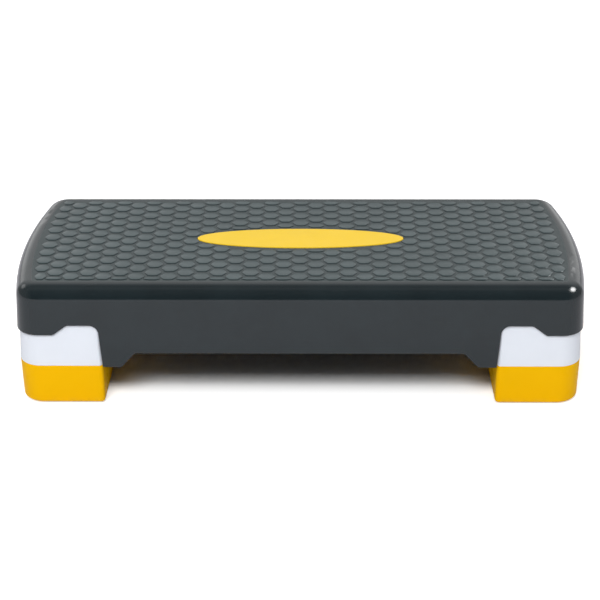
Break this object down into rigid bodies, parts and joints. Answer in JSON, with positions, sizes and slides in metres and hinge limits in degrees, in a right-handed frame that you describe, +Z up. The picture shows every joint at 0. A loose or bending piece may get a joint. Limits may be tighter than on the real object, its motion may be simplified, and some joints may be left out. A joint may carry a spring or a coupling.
{
  "type": "aerobic step platform",
  "caption": "Moulded aerobic step with a ribbed non-slip deck, an oval badge plate, stepped corner legs and riser feet that pull off for a lower height.",
  "frame": {"origin": "on the floor, under the middle of the deck", "axes": "+X along the deck to the right, +Y to the back, +Z up"},
  "size_m": [0.6798, 0.2798, 0.15],
  "materials": {
    "deck_plastic": "satin dark grey, grained tread",
    "badge_plastic": "satin yellow",
    "leg_plastic": "satin white",
    "riser_plastic": "satin yellow",
    "pad_rubber": "matte black",
    "screw_steel": "zinc plated"
  },
  "bodies": {
    "deck": {"deck_shell": "deck_plastic", "badge_plate": "badge_plastic", "leg_screws": "screw_steel", "leg_front_left": "leg_plastic", "leg_front_right": "leg_plastic", "leg_back_left": "leg_plastic", "leg_back_right": "leg_plastic", "leg_pads_front_left": "pad_rubber", "leg_pads_front_right": "pad_rubber", "leg_pads_back_left": "pad_rubber", "leg_pads_back_right": "pad_rubber"},
    "riser_front_left": {"riser_front_left": "riser_plastic", "riser_pads_front_left": "pad_rubber"},
    "riser_front_right": {"riser_front_right": "riser_plastic", "riser_pads_front_right": "pad_rubber"},
    "riser_back_left": {"riser_back_left": "riser_plastic", "riser_pads_back_left": "pad_rubber"},
    "riser_back_right": {"riser_back_right": "riser_plastic", "riser_pads_back_right": "pad_rubber"}
  },
  "joints": [
    {"name": "riser_front_left_pull", "type": "slide", "parent": "deck", "child": "riser_front_left", "axis": [0, 0, -1], "range_m": [0, 0.05]},
    {"name": "riser_front_right_pull", "type": "slide", "parent": "deck", "child": "riser_front_right", "axis": [0, 0, -1], "range_m": [0, 0.05]},
    {"name": "riser_back_left_pull", "type": "slide", "parent": "deck", "child": "riser_back_left", "axis": [0, 0, -1], "range_m": [0, 0.05]},
    {"name": "riser_back_right_pull", "type": "slide", "parent": "deck", "child": "riser_back_right", "axis": [0, 0, -1], "range_m": [0, 0.05]}
  ]
}
